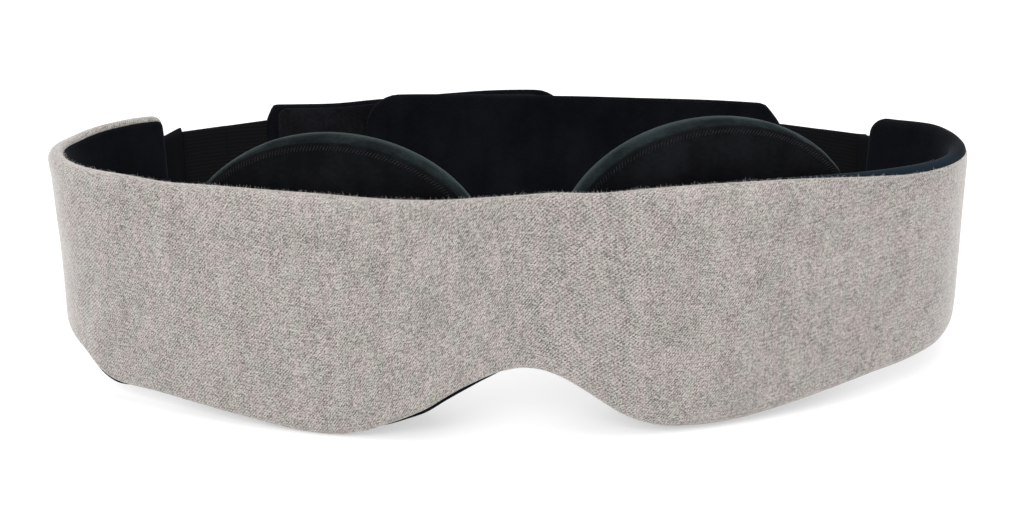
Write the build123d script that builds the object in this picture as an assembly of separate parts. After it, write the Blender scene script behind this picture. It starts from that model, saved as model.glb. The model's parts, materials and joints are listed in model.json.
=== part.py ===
from build123d import *
import math
import os

# Wrap-around eye massager mask: a padded knit band that crosses the face, two soft eye cups that grip
# its lining with hook tape, a sealed vibration puck in each cup, and an elastic strap whose two pads
# lap over each other behind the head.
#
# The mask is drawn level first: X across the face, Y from the face to the back of the head, Z up, with
# the outer face of the band touching Y = 0. It is then tipped back to stand on a table on the two
# cheek lobes of the band and the lower edges of the strap pads. Millimetres; left and right are as
# seen from the front.

# ---- Band -------------------------------------------------------------------------------------------
mask_width = 252.0        # over the outer face of the band
mask_height = 63.0        # from the cheek lobes to the top edge
front_radius = 232.0      # plan radius across the face
corner_radius = 35.0      # plan radius where the band turns round the temples
tail_heading_left = 135.0  # how far the band has turned at each end, degrees from straight across
tail_heading_right = 126.0
tail_length = 18.0        # straight end of the band after the temple corner
band_thickness = 6.0
knit_thickness = 0.8      # every cover fabric of the band and the cups
seam_offset = 4.2         # where the knit cover meets the lining, from the outer face
notch_height = 18.0       # nose notch above the cheek lobes
notch_handle = 13.0       # how long the notch runs level at its top
lobe_x = 47.0             # lowest point of each cheek lobe
lobe_handle = 20.0        # how long the lobe runs level on each side
side_inset = 4.0          # from the widest point to where the lower edge runs level
end_margin = 4.0          # band above and below each strap anchor
end_corner = 6.0          # rounded corners of the band's ends
end_seam = 1.0            # turned-in seam that closes each end of the band

# ---- Strap ------------------------------------------------------------------------------------------
elastic_height = 38.0
elastic_thickness = 1.2
anchor_margin = 1.5       # anchor above and below its elastic
anchor_thickness = 3.4
anchor_depth = 8.0        # sewn into the band's end
anchor_reach_left = 6.5   # how far each anchor shows beyond the band's end
anchor_reach_right = 2.0
strap_lift_left = 1.3     # left anchor and elastic above the middle of the band's ends
pad_radius = 250.0        # plan radius of the face where the two pads meet
pad_back = 116.0          # depth of that face at the middle of the back
pad_height = 50.0
pad_seam_left = -70.0     # where each pad joins its elastic, and where each one ends
pad_tip_left = 18.0
pad_seam_right = 80.0
pad_tip_right = -42.0
pad_lift = 0.85           # both pads above the middle of the band's ends
pad_slope_left = 2.0      # degrees that each pad climbs towards its tip
pad_slope_right = 0.6
pad_face_thickness = 0.6
pad_core_thickness = 1.2
pad_tip_corner = 10.0
pad_seam_corner = 4.0
hook_thickness = 1.0
hook_border_end = 3.2     # bare fabric round the hook patch
hook_border_edge = 1.0
seam_gap = 1.1            # between each elastic's end and the sloped end of its pad

# ---- Eye cups ---------------------------------------------------------------------------------------
cup_width = 82.4
cup_height = 66.0
cup_side_depth = 8.0      # straight gusset between the front face and the rounded rear edge
cup_edge_round = 5.0
cup_angle_left = -12.0    # where each cup sits round the band, degrees from the nose
cup_angle_right = 13.4
cup_z_left = 41.0         # height of each cup's centre
cup_z_right = 43.8
cup_hook_thickness = 1.2
cup_hook_width = 26.0     # each of the two patches on a cup
cup_hook_height = 16.0
cup_hook_spacing = 40.0
overlock_width = 2.2
overlock_thickness = 0.5
hollow_width = 46.0       # eye hollow
hollow_height = 32.0
hollow_depth = 4.4
pocket_mouth_length = 38.0
pocket_mouth_width = 2.4
pocket_mouth_z = 9.0

# ---- Vibration puck ---------------------------------------------------------------------------------
puck_diameter = 34.0
puck_wall = 1.0
puck_cavity = 3.7
lid_lip_depth = 1.2
lid_lip_wall = 0.8
board_thickness = 0.8
board_margin = 0.8        # round the board, inside the lid's lip
motor_diameter = 10.0
motor_height = 2.4
motor_wall = 0.3
motor_x, motor_z = -8.0, -4.0
shaft_diameter = 0.8
rotor_thickness = 1.2
rotor_clearance = 0.35
button_diameter = 7.0
button_x, button_z = -6.0, 9.0
button_flange = 0.9
button_flange_thickness = 0.6
button_proud = 0.4
button_travel = 0.5
switch_size = 4.0
battery_width, battery_height, battery_thickness = 12.0, 18.0, 2.6
battery_x, battery_z = 5.5, -1.0
contact_diameter = 2.0
contact_x, contact_z, contact_pitch = 4.0, 12.0, 5.0

# ---- Clearances -------------------------------------------------------------------------------------
lay_gap = 0.05            # between layers sewn or glued face to face
slide_gap = 0.3           # between pieces that move past each other
fit_gap = 0.1             # radial or face clearance inside the puck
running_gap = 0.05        # rotor on its shaft

# ---- Worked out from the sizes above ----------------------------------------------------------------
front_angle = math.degrees(math.asin((mask_width / 2 - corner_radius) / (front_radius - corner_radius)))
corner_x = (front_radius - corner_radius) * math.sin(math.radians(front_angle))
corner_y = front_radius - (front_radius - corner_radius) * math.cos(math.radians(front_angle))
side_x = mask_width / 2 - side_inset
side_y = corner_y - math.sqrt(corner_radius**2 - (side_x - corner_x) ** 2)
anchor_height = elastic_height + 2 * anchor_margin
side_rise = mask_height - anchor_height - 2 * end_margin  # lower edge of the band's ends above the lobes
strap_z = (side_rise + mask_height) / 2
pad_centre_y = pad_back - pad_radius
pad_thickness = 2 * pad_face_thickness + pad_core_thickness + 2 * lay_gap
pad_inner_right = pad_radius - slide_gap / 2 - pad_thickness
pad_inner_left = pad_radius + slide_gap / 2 + hook_thickness + lay_gap
pad_depth_limit = pad_back + pad_thickness + 3 * hook_thickness

cup_hook_offset = band_thickness + slide_gap
cup_face_offset = cup_hook_offset + cup_hook_thickness + lay_gap
cup_foam_offset = cup_face_offset + knit_thickness + lay_gap
cup_seam_offset = cup_foam_offset + cup_side_depth
cup_end_offset = cup_seam_offset + cup_edge_round
hollow_floor = cup_end_offset - hollow_depth
puck_sag_radius = front_radius - cup_foam_offset
puck_sag = puck_sag_radius - math.sqrt(puck_sag_radius**2 - (puck_diameter / 2) ** 2)
puck_y = cup_foam_offset + puck_sag + button_proud + fit_gap
puck_depth = puck_cavity + 2 * puck_wall
board_diameter = puck_diameter - 2 * (puck_wall + fit_gap + lid_lip_wall + board_margin)
puck_board_y = puck_y + puck_wall + puck_cavity - fit_gap - board_thickness


# ---- Band -------------------------------------------------------------------------------------------
def band_point(heading, offset, along=0.0):
    """A point of the right half of the band in plan, where the band runs in that heading."""
    a = math.radians(heading)
    if heading <= front_angle:
        radius, x, y = front_radius - offset, 0.0, front_radius
    else:
        radius, x, y = corner_radius - offset, corner_x, corner_y
    place = Vector(x + radius * math.sin(a), y - radius * math.cos(a))
    return place + Vector(math.cos(a), math.sin(a)) * along


def side_point(side, heading, offset, along=0.0):
    """The same point on either half of the band; side is -1 for left or 1 for right."""
    point = band_point(heading, offset, along)
    return Vector(side * point.X, point.Y)


def tail_heading(side):
    return tail_heading_right if side > 0 else tail_heading_left


def half_path(side, offset, trim):
    """One half of the band in plan at a depth below its outer face, from its end to the front."""
    heading = tail_heading(side)
    end = side_point(side, heading, offset, tail_length - trim)
    corner_end = side_point(side, heading, offset)
    middle = side_point(side, (front_angle + heading) / 2, offset)
    corner_start = side_point(side, front_angle, offset)
    return [Line(end, corner_end), ThreePointArc(corner_end, middle, corner_start)]


def band_path(offset, trim):
    """The band in plan at a depth below its outer face, from its right end to its left end."""
    right, left = half_path(1, offset, trim), half_path(-1, offset, trim)
    front = ThreePointArc(right[-1] @ 1, band_point(0, offset), left[-1] @ 1)
    left_end, left_corner = left
    turned = ThreePointArc(left_corner @ 1, left_corner @ 0.5, left_corner @ 0)
    return right + [front, turned, Line(left_end @ 1, left_end @ 0)]


def band_layer(near, far, trim=0.0):
    """A full-height slice of the band between two depths below its outer face."""
    outer, inner = band_path(near, trim), band_path(far, trim)
    closing = [Line(outer[-1] @ 1, inner[-1] @ 1), Line(inner[0] @ 0, outer[0] @ 0)]
    plan = make_face(Wire(outer + closing + inner))
    return extrude(plan, mask_height)


def lower_edge(lift):
    """The right half of the band's lower edge seen from the front: nose notch, cheek lobe, side."""
    notch = Bezier(
        (0, notch_height + lift),
        (notch_handle, notch_height + lift),
        (lobe_x - lobe_handle, lift),
        (lobe_x, lift),
    )
    reach = side_x - lobe_x
    side = Bezier(
        (lobe_x, lift),
        (lobe_x + lobe_handle, lift),
        (side_x - 0.28 * reach, 0.5 * side_rise + lift),
        (side_x, side_rise + lift),
    )
    return [notch, side]


def height_limits(inset):
    """The space between the band's lower and top edges, drawn in by a fabric thickness."""
    top = mask_height - inset
    right = lower_edge(inset)
    left = [edge.mirror(Plane.YZ) for edge in right]
    corners = [(side_x, side_rise + inset), (mask_width, side_rise + inset), (mask_width, top)]
    corners += [(-mask_width, top), (-mask_width, side_rise + inset), (-side_x, side_rise + inset)]
    rest = [Line(a, b) for a, b in zip(corners, corners[1:])]
    elevation = Plane.XZ * make_face(Wire(right + rest + left))
    front = extrude(elevation, -side_y)
    rear_depth = pad_back - side_y
    rear_height = top - side_rise - inset
    rear = Box(2 * mask_width, rear_depth, rear_height, align=(Align.CENTER, Align.MIN, Align.MIN))
    return front + Pos(0, side_y, side_rise + inset) * rear


def round_ends(solid, radius, along):
    """Rounds the four corners of the band's two ends."""
    near = []
    for side in (-1, 1):
        tail = side_point(side, tail_heading(side), band_thickness / 2, along)
        for edge in solid.edges().filter_by(GeomType.LINE):
            middle = edge @ 0.5
            level = abs((edge @ 0).Z - (edge @ 1).Z) < 0.01
            if level and math.hypot(middle.X - tail.X, middle.Y - tail.Y) < 0.5 * band_thickness:
                near.append(edge)
    return fillet(near, radius)


def make_band():
    """Knit cover, foam core and lining; the two fabrics wrap the foam and meet along its edges."""
    whole = round_ends(band_layer(0, band_thickness) & height_limits(0), end_corner, tail_length)
    inside = band_layer(knit_thickness, band_thickness - knit_thickness, end_seam)
    cavity = round_ends(
        inside & height_limits(knit_thickness), end_corner - end_seam, tail_length - end_seam
    )
    slots = anchor(-1, lay_gap) + anchor(1, lay_gap)
    cover = (whole & band_layer(0, seam_offset)) - cavity - slots
    lining = (whole & band_layer(seam_offset + lay_gap, band_thickness)) - cavity - slots
    wrap = knit_thickness + lay_gap
    foam_end = anchor_depth + lay_gap
    foam = band_layer(wrap, band_thickness - wrap, foam_end) & height_limits(wrap)
    return {"outer_cover": cover, "foam_core": foam, "inner_lining": lining}


# ---- Strap ------------------------------------------------------------------------------------------
def anchor_reach(side):
    return anchor_reach_right if side > 0 else anchor_reach_left


def strap_point(side, along):
    """A point on the band's middle line, measured along from its end; side is -1 or 1."""
    return side_point(side, tail_heading(side), band_thickness / 2, tail_length + along)


def strap_middle(side):
    """Height of the middle of one anchor and its elastic."""
    return strap_z if side > 0 else strap_z + strap_lift_left


def slab(start, end, thickness, height, z):
    """An upright slab of cloth between two plan points, with its middle at height z."""
    line = end - start
    heading = math.degrees(math.atan2(line.Y, line.X))
    box = Box(line.length, thickness, height, align=(Align.MIN, Align.CENTER, Align.CENTER))
    return Pos(start.X, start.Y, z) * Rot(0, 0, heading) * box


def anchor(side, grow=0.0):
    """The folded tape sewn into one end of the band, where the elastic starts."""
    start, end = strap_point(side, -anchor_depth - grow), strap_point(side, anchor_reach(side))
    return slab(start, end, anchor_thickness + 2 * grow, anchor_height + 2 * grow, strap_middle(side))


def hinge_point(side):
    """Where the elastic folds at the end of its anchor."""
    return strap_point(side, anchor_reach(side) + elastic_thickness / 2 + slide_gap)


def elastic(side):
    """One length of elastic, from the fold at its anchor to the seam of its pad."""
    seam_x = pad_seam_right if side > 0 else pad_seam_left
    inner = pad_inner_right if side > 0 else pad_inner_left
    end = pad_point(seam_x + side * seam_gap, inner + pad_thickness / 2)
    start = hinge_point(side)
    z = strap_middle(side)
    fold = Pos(start.X, start.Y, z) * Cylinder(elastic_thickness / 2, elastic_height)
    return slab(start, end, elastic_thickness, elastic_height, z) + fold


def pad_point(x, radius):
    """A point of the strap round the back of the head, at a plan radius."""
    return Vector(x, pad_centre_y + math.sqrt(radius**2 - x**2))


def pad_layer(outline, inner, thickness):
    """A layer of a pad: its outline in elevation, bent round the back of the head."""
    height = 2 * pad_height
    ring = Cylinder(inner + thickness, height) - Cylinder(inner, height)
    ring = Pos(0, pad_centre_y, strap_z) * ring
    return extrude(Plane.XZ * outline, -pad_depth_limit) & ring


def pad_outline(seam_x, tip_x, slope, border_end=0.0, border_edge=0.0):
    """A pad in elevation: tight corners at the seam, round ones at the tip, climbing to the tip."""
    toward = math.copysign(1, tip_x - seam_x)
    length = abs(tip_x - seam_x) - 2 * border_end
    face = Rectangle(length, pad_height - 2 * border_edge)
    corners = face.vertices().sort_by(Axis.X)
    seam = corners[:2] if toward > 0 else corners[2:]
    face = fillet(seam, pad_seam_corner - border_edge)
    corners = face.vertices().sort_by(Axis.X)
    tip = corners[-2:] if toward > 0 else corners[:2]
    face = fillet(tip, pad_tip_corner - border_edge)
    return Pos((seam_x + tip_x) / 2, strap_z + pad_lift) * Rot(0, 0, toward * slope) * face


def make_pad(name, outline, inner):
    """A strap pad from inside to outside: soft inner face, felt core, outer face."""
    layers = {
        "inner_face": pad_face_thickness,
        "core": pad_core_thickness,
        "outer_face": pad_face_thickness,
    }
    pieces = {}
    for layer, thickness in layers.items():
        pieces[f"{name}_{layer}"] = pad_layer(outline, inner, thickness)
        inner += thickness + lay_gap
    return pieces


def make_strap():
    """Anchors, elastics and the two pads; the left pad laps outside the right one."""
    left_outline = pad_outline(pad_seam_left, pad_tip_left, pad_slope_left)
    right_outline = pad_outline(pad_seam_right, pad_tip_right, pad_slope_right)
    hook_outline = pad_outline(
        pad_seam_left, pad_tip_left, pad_slope_left, hook_border_end, hook_border_edge
    )
    nodes = {
        "left_strap_anchor": anchor(-1),
        "right_strap_anchor": anchor(1),
        "left_elastic": elastic(-1),
        "right_elastic": elastic(1),
        "left_pad_hook_patch": pad_layer(hook_outline, pad_radius + slide_gap / 2, hook_thickness),
    }
    nodes |= make_pad("left_pad", left_outline, pad_inner_left)
    nodes |= make_pad("right_pad", right_outline, pad_inner_right)
    return nodes


# ---- Eye cups ---------------------------------------------------------------------------------------
def curved_layer(near, far):
    """A layer that follows the band, between two depths below the band's outer face."""
    height = 2 * cup_height
    ring = Cylinder(front_radius - near, height) - Cylinder(front_radius - far, height)
    front = Box(4 * cup_width, 2 * cup_width, height)
    return (Pos(0, front_radius, 0) * ring) & front


def oval(width, height, start, end):
    """An oval prism along Y between two depths."""
    face = Plane.XZ * Ellipse(width / 2, height / 2)
    return Pos(0, start, 0) * extrude(face, -(end - start))


def disc(diameter, start, end, x=0.0, z=0.0):
    """A round prism along Y between two depths."""
    face = Plane.XZ * Circle(diameter / 2)
    return Pos(x, start, z) * extrude(face, -(end - start))


def cup_body(inset):
    """The cup behind its front face, drawn in by a fabric thickness, with its rear edge rounded."""
    end = cup_end_offset - inset
    body = oval(cup_width - 2 * inset, cup_height - 2 * inset, 0, 2 * cup_width)
    body &= curved_layer(cup_foam_offset, end)
    rear = [edge for edge in body.edges() if all(abs(depth(edge @ t) - end) < 0.01 for t in (0.2, 0.7))]
    return fillet(rear, cup_edge_round - inset)


def depth(point):
    """How far a point lies below the outer face of the band's front."""
    return front_radius - math.hypot(point.X, point.Y - front_radius)


def cup_oval(inset=0.0):
    return oval(cup_width - 2 * inset, cup_height - 2 * inset, 0, 2 * cup_width)


def hollow_oval(inset, start, end):
    return oval(hollow_width - 2 * inset, hollow_height - 2 * inset, start, end)


def make_cup_fabrics():
    """Front face with its pocket mouth, side gusset, foam, eye-side cover and edge stitching."""
    face = cup_oval() & curved_layer(cup_face_offset, cup_face_offset + knit_thickness)
    mouth = Box(pocket_mouth_length, cup_width, pocket_mouth_width)
    face -= Pos(0, cup_face_offset, pocket_mouth_z) * mouth
    beyond = cup_end_offset + cup_width
    shell = cup_body(0) - cup_body(knit_thickness)
    gusset = shell & curved_layer(cup_foam_offset, cup_seam_offset)
    cover = shell & curved_layer(cup_seam_offset + lay_gap, cup_end_offset)
    cover -= hollow_oval(lay_gap, 0, beyond)
    pan = hollow_oval(lay_gap, hollow_floor + lay_gap, beyond)
    pan -= hollow_oval(knit_thickness + lay_gap, hollow_floor + lay_gap + knit_thickness, beyond)
    cover += pan & curved_layer(0, cup_end_offset)
    foam = cup_body(knit_thickness + lay_gap) - hollow_oval(0, hollow_floor, beyond)
    foam -= disc(puck_diameter + 2 * fit_gap, 0, puck_y + puck_depth + fit_gap)
    overlock = cup_oval() - cup_oval(overlock_width)
    overlock &= curved_layer(cup_face_offset - lay_gap - overlock_thickness, cup_face_offset - lay_gap)
    return {
        "cup_front_face": face,
        "cup_gusset": gusset,
        "cup_foam": foam,
        "cup_eye_cover": cover,
        "cup_overlock": overlock,
    }


def make_cup_hooks():
    """Two hook patches on the front face, either side of the pocket mouth."""
    layer = curved_layer(cup_hook_offset, cup_hook_offset + cup_hook_thickness)
    patches = []
    for side in (-1, 1):
        block = Box(cup_hook_width, cup_width, cup_hook_height)
        block = fillet(block.edges().filter_by(Axis.Y), cup_hook_height / 4)
        patches.append((Pos(side * cup_hook_spacing / 2, 0, 0) * block) & layer)
    return patches


# ---- Vibration puck ---------------------------------------------------------------------------------
def make_puck_shells():
    """Base with the button hole and contact holes, and the lid with its locating lip."""
    rim = puck_y + puck_wall + puck_cavity
    inner = puck_diameter - 2 * puck_wall
    base = disc(puck_diameter, puck_y, rim) - disc(inner, puck_y + puck_wall, rim)
    base -= disc(button_diameter + 2 * fit_gap, puck_y, rim, button_x, button_z)
    for x in contact_places():
        base -= disc(contact_diameter + 2 * lay_gap, puck_y, rim, x, contact_z)
    lid = disc(puck_diameter, rim, rim + puck_wall)
    lip = disc(inner - 2 * fit_gap, rim - lid_lip_depth, rim)
    lip -= disc(inner - 2 * fit_gap - 2 * lid_lip_wall, rim - lid_lip_depth, rim)
    return base, lid + lip


def contact_places():
    return [contact_x - contact_pitch / 2, contact_x + contact_pitch / 2]


def make_board():
    """Round circuit board with the switch that the button presses."""
    board = disc(board_diameter, puck_board_y, puck_board_y + board_thickness)
    stem_end = puck_y + puck_wall + button_flange_thickness
    switch_start = stem_end + button_travel + fit_gap
    switch_depth = puck_board_y - switch_start
    switch = Box(switch_size, switch_depth, switch_size, align=(Align.CENTER, Align.MIN, Align.CENTER))
    return board + Pos(button_x, switch_start, button_z) * switch


def make_button():
    """The cap that shows through the base, with a flange that keeps it in."""
    stem = disc(button_diameter, puck_y - button_proud, puck_y + puck_wall, button_x, button_z)
    width = button_diameter + 2 * button_flange
    start = puck_y + puck_wall + lay_gap
    flange = disc(width, start, start + button_flange_thickness - lay_gap, button_x, button_z)
    neck = disc(button_diameter, puck_y + puck_wall, start, button_x, button_z)
    return stem + neck + flange


def make_motor():
    """Coin motor: an open can with a fixed shaft, and the half-disc weight that turns on it."""
    end = puck_board_y - fit_gap
    start = end - motor_height
    can = disc(motor_diameter, start, end, motor_x, motor_z)
    can -= disc(motor_diameter - 2 * motor_wall, start + motor_wall, end, motor_x, motor_z)
    can += disc(shaft_diameter, start, end, motor_x, motor_z)
    weight_start = start + motor_wall + rotor_clearance
    weight_end = weight_start + rotor_thickness
    sweep_diameter = motor_diameter - 2 * motor_wall - 2 * rotor_clearance
    weight = disc(sweep_diameter, weight_start, weight_end, motor_x, motor_z)
    half = (motor_diameter, 2 * puck_board_y, motor_diameter)
    lower_half = Box(*half, align=(Align.CENTER, Align.CENTER, Align.MAX))
    weight &= Pos(motor_x, 0, motor_z) * lower_half
    weight += disc(3 * shaft_diameter, weight_start, weight_end, motor_x, motor_z)
    weight -= disc(shaft_diameter + 2 * running_gap, weight_start, weight_end, motor_x, motor_z)
    return can, weight


def make_battery():
    cell = Box(battery_width, battery_thickness, battery_height)
    cell = fillet(cell.edges().filter_by(Axis.Y), 1.0)
    return Pos(battery_x, puck_board_y - fit_gap - battery_thickness / 2, battery_z) * cell


def make_contacts():
    """Two charging pins, flush with the base and reaching the board."""
    end = puck_board_y - lay_gap
    return [disc(contact_diameter, puck_y, end, x, contact_z) for x in contact_places()]


def make_cup(side_name, angle, z):
    """One eye cup with its puck, at its place round the band."""
    base, lid = make_puck_shells()
    can, weight = make_motor()
    pieces = make_cup_fabrics()
    pieces |= {
        "cup_hooks": make_cup_hooks(),
        "puck_base": base,
        "puck_lid": lid,
        "puck_board": make_board(),
        "puck_button": make_button(),
        "puck_battery": make_battery(),
        "puck_contacts": make_contacts(),
        "motor_can": can,
        "motor_weight": weight,
    }
    place = Pos(0, front_radius, z) * Rot(0, 0, angle) * Pos(0, -front_radius, 0)
    return {f"{side_name}_{name}": placed(piece, place) for name, piece in pieces.items()}


# ---- Standing on a table ----------------------------------------------------------------------------
def placed(piece, place):
    """Moves a solid, or each solid of a list."""
    return [place * solid for solid in piece] if isinstance(piece, list) else place * piece


def solids_of(piece):
    shapes = piece if isinstance(piece, list) else [piece]
    return [solid for shape in shapes for solid in shape.solids()]


def lowest(pieces, angle):
    tip = Rot(-angle, 0, 0)
    return min((tip * piece).bounding_box().min.Z for piece in pieces)


def standing_place(nodes):
    """Tips the level mask back onto its lobes and pads, with its box centred over the origin."""
    front = [nodes["outer_cover"], nodes["inner_lining"]]
    back = [nodes["left_pad_outer_face"], nodes["right_pad_inner_face"]]
    angle = 0.0
    for _ in range(4):
        angle += math.degrees(math.atan2(lowest(back, angle) - lowest(front, angle), pad_back))
    tip = Rot(-angle, 0, 0)
    boxes = [(tip * solid).bounding_box() for piece in nodes.values() for solid in solids_of(piece)]
    low_z = min(box.min.Z for box in boxes)
    middle_x = (min(box.min.X for box in boxes) + max(box.max.X for box in boxes)) / 2
    middle_y = (min(box.min.Y for box in boxes) + max(box.max.Y for box in boxes)) / 2
    return Pos(-middle_x, -middle_y, -low_z) * tip


def build():
    level = make_band() | make_strap()
    level |= make_cup("left", cup_angle_left, cup_z_left)
    level |= make_cup("right", cup_angle_right, cup_z_right)
    place = standing_place(level)
    return {name: placed(piece, place) for name, piece in level.items()}, place


def main():
    os.makedirs("parts", exist_ok=True)
    nodes, _ = build()
    for name, piece in nodes.items():
        export_step(Compound(children=solids_of(piece)), f"parts/{name}.step")


if __name__ == "__main__":
    main()
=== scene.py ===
import bpy
import bmesh
import json
import math
import numpy as np
from mathutils import Matrix, Vector


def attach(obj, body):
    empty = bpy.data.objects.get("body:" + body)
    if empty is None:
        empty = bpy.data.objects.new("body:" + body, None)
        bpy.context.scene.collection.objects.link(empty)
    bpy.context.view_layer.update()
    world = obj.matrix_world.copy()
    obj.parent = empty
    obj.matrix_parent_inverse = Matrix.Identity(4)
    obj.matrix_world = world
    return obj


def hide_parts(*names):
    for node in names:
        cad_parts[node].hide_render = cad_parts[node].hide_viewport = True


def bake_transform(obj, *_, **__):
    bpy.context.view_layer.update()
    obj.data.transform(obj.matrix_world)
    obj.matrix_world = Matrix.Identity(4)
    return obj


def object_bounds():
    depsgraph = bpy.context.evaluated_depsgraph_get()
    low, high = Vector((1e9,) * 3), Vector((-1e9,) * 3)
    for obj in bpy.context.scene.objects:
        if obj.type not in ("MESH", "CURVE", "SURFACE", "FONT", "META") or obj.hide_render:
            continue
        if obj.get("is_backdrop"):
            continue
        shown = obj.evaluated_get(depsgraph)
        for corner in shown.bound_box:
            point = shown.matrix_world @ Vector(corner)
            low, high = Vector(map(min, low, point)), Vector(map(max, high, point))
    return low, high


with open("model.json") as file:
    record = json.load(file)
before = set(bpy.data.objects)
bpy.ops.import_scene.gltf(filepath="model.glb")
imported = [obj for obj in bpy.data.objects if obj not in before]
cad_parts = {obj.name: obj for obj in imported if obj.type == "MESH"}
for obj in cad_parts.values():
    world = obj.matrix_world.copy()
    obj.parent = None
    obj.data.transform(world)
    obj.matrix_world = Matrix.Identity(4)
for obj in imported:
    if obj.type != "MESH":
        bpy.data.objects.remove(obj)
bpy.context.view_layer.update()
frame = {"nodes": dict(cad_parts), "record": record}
print("frame loaded,", len(frame["nodes"]), "nodes")

mm = 0.001


# the mask is drawn level, the outer face of its front touching y = 0, and then tipped back to
# where the frame stands it on the table
def standingMatrix():
    pivot = Vector((0, -134 * mm, 38.5 * mm))  # centre of the strap's back curve while level
    joint = [j for j in frame["record"]["behaviour"]["joints"] if j["name"] == "left_pad_tighten"][0]
    up = Vector(joint["axis"])
    tip = Matrix.Rotation(-math.atan2(up.y, up.z), 4, "X")
    return Matrix.Translation(Vector(joint["pos_m"]) - tip @ pivot) @ tip


standing = standingMatrix()


def joined(*runs):
    return np.concatenate(runs)


class Value:
    # a number socket that takes + - * with numbers and with other Values
    def __init__(self, shader, socket):
        self.shader = shader
        self.socket = socket

    def math(self, operation, *others, clamp=False):
        values = {0: self}
        values.update({i + 1: other for i, other in enumerate(others)})
        return self.shader.add("ShaderNodeMath", {"operation": operation, "use_clamp": clamp}, values)

    def __add__(self, other):
        return self.math("ADD", other)

    __radd__ = __add__

    def __mul__(self, other):
        return self.math("MULTIPLY", other)

    __rmul__ = __mul__

    def __sub__(self, other):
        return self.math("SUBTRACT", other)

    def __rsub__(self, other):
        return self.shader.add("ShaderNodeMath", {"operation": "SUBTRACT"}, {0: other, 1: self})

    def sine(self):
        return self.math("SINE")

    def clamped(self):
        return self.math("ADD", 0.0, clamp=True)

    def between(self, low, high):
        # 0 below low, 1 above high, smooth in the middle
        values = {"Value": self, "From Min": low, "From Max": high}
        return self.shader.add("ShaderNodeMapRange", {"interpolation_type": "SMOOTHSTEP"}, values)


class Shader:
    # one material; add() makes any node from its type, settings, and values or links
    def __init__(self, name, **surface):
        self.material = bpy.data.materials.new(name)
        self.material.use_nodes = True
        self.tree = self.material.node_tree
        self.surface = self.tree.nodes["Principled BSDF"]
        for socket, value in surface.items():
            self.surface.inputs[socket.replace("_", " ")].default_value = value

    def add(self, kind, settings=None, values=None, output=0):
        node = self.tree.nodes.new(kind)
        for name, setting in (settings or {}).items():
            setattr(node, name, setting)
        for key, value in (values or {}).items():
            self.feed(node.inputs[key], value)
        return Value(self, node.outputs[output])

    def feed(self, socket, value):
        if isinstance(value, Value):
            self.tree.links.new(value.socket, socket)
        else:
            socket.default_value = value

    def uv(self, stretch=(1, 1, 1)):
        place = self.add("ShaderNodeTexCoord", output=2)
        return self.add("ShaderNodeMapping", {}, {"Vector": place, "Scale": stretch})

    def place(self, stretch=(1, 1, 1)):
        where = self.add("ShaderNodeTexCoord", output=3)
        return self.add("ShaderNodeMapping", {}, {"Vector": where, "Scale": stretch})

    def noise(self, where, scale, detail=2.0, rough=0.5):
        values = {"Vector": where, "Scale": scale, "Detail": detail, "Roughness": rough}
        return self.add("ShaderNodeTexNoise", {}, values)

    def axes(self, where):
        node = self.tree.nodes.new("ShaderNodeSeparateXYZ")
        self.feed(node.inputs[0], where)
        return [Value(self, out) for out in node.outputs]

    def blend(self, amount, first, second):
        settings = {"data_type": "RGBA"}
        return self.add("ShaderNodeMix", settings, {0: amount, 6: first, 7: second}, output=2)

    def bump(self, height, distance, strength=1.0):
        values = {"Height": height, "Distance": distance, "Strength": strength}
        self.feed(self.surface.inputs["Normal"], self.add("ShaderNodeBump", {}, values))

    def colour(self, value):
        self.feed(self.surface.inputs["Base Color"], value)

    def roughness(self, value):
        self.feed(self.surface.inputs["Roughness"], value)


def rgb(red, green, blue):
    # 0 to 255 screen values to a linear colour
    shares = [c / 255 for c in (red, green, blue)]
    return (*[c / 12.92 if c < 0.0404 else ((c + 0.055) / 1.055) ** 2.4 for c in shares], 1.0)


jersey = {
    "gap": rgb(82, 79, 77), "pale": rgb(192, 185, 181),
    "pink": (1.02, 0.98, 0.985, 1), "grey": (0.97, 1.0, 0.965, 1),
    "waleMm": 0.75, "courseMm": 1.0, "loopMm": (0.30, 0.27), "lean": 0.6, "streakMm": (3.6, 9.0),
    "depthMm": 0.08, "paintedLightTopCm": (4.8, 6.3),
# the last span, in cm up the cloth, is where a painted highlight lightens the knit's top edge
}


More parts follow.
